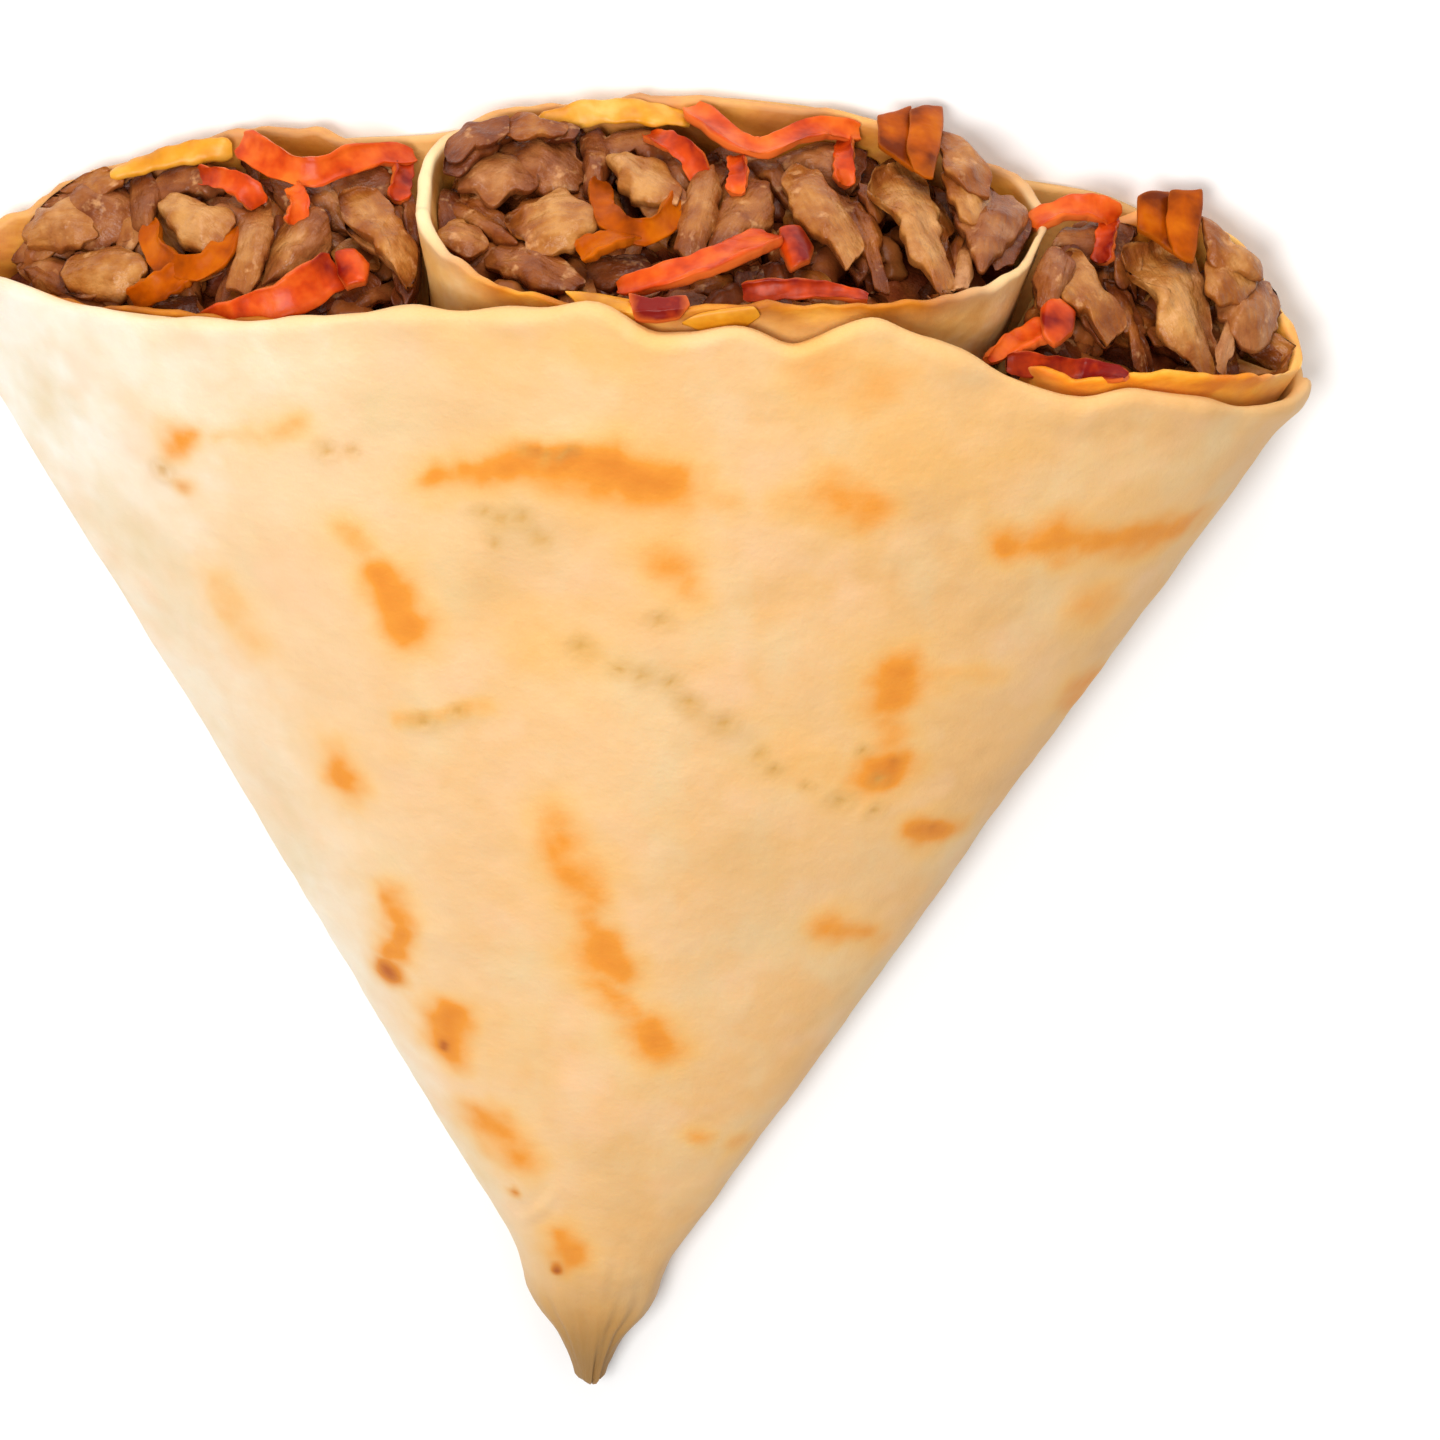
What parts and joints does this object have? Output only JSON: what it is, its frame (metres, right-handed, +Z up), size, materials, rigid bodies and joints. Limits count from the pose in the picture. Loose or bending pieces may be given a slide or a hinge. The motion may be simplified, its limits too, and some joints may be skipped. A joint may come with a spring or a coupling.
{
  "type": "meat crepe",
  "caption": "Savoury crepe folded to a flat cone, its wide mouth open on rolled crepes packed with sliced meat, pepper strips and cheese.",
  "frame": {"origin": "centre of the bounding box's base, on the flat back panel that the crepe lies on", "axes": "+Z up, out of the shown panel; the open mouth faces -Y and the tip points to +Y"},
  "size_m": [0.1904, 0.2064, 0.049],
  "materials": {
    "crepe": "matt pan-baked dough, cream with orange-brown toast marks",
    "lining": "thin pan-baked dough, oily and yellow-orange inside, pale at its cut lip",
    "meat": "moist roasted meat in cut strips, light tan to dark brown",
    "red_pepper": "soft cooked pepper with a glossy skin",
    "orange_pepper": "soft cooked pepper with a glossy skin",
    "cheese": "soft melted cheese"
  },
  "bodies": {
    "root": {"left_cheese_back": "cheese", "left_cheese_front": "cheese", "left_filling": "meat", "left_orange_pepper_curved": "orange_pepper", "left_red_pepper_curved": "red_pepper", "left_red_pepper_long": "red_pepper", "left_red_pepper_small": "red_pepper", "left_roll": "lining", "middle_cheese_back": "cheese", "middle_cheese_front": "cheese", "middle_filling": "meat", "middle_orange_pepper_curved": "orange_pepper", "middle_orange_pepper_upright": "orange_pepper", "middle_red_pepper_curved": "red_pepper", "middle_red_pepper_cut": "red_pepper", "middle_red_pepper_flat": "red_pepper", "middle_red_pepper_long": "red_pepper", "middle_red_pepper_small": "red_pepper", "middle_roll": "lining", "outer_crepe": "crepe", "right_filling": "meat", "right_orange_pepper_upright": "orange_pepper", "right_red_pepper_cut": "red_pepper", "right_red_pepper_flat": "red_pepper", "right_red_pepper_long": "red_pepper", "right_roll": "lining"}
  },
  "joints": []
}
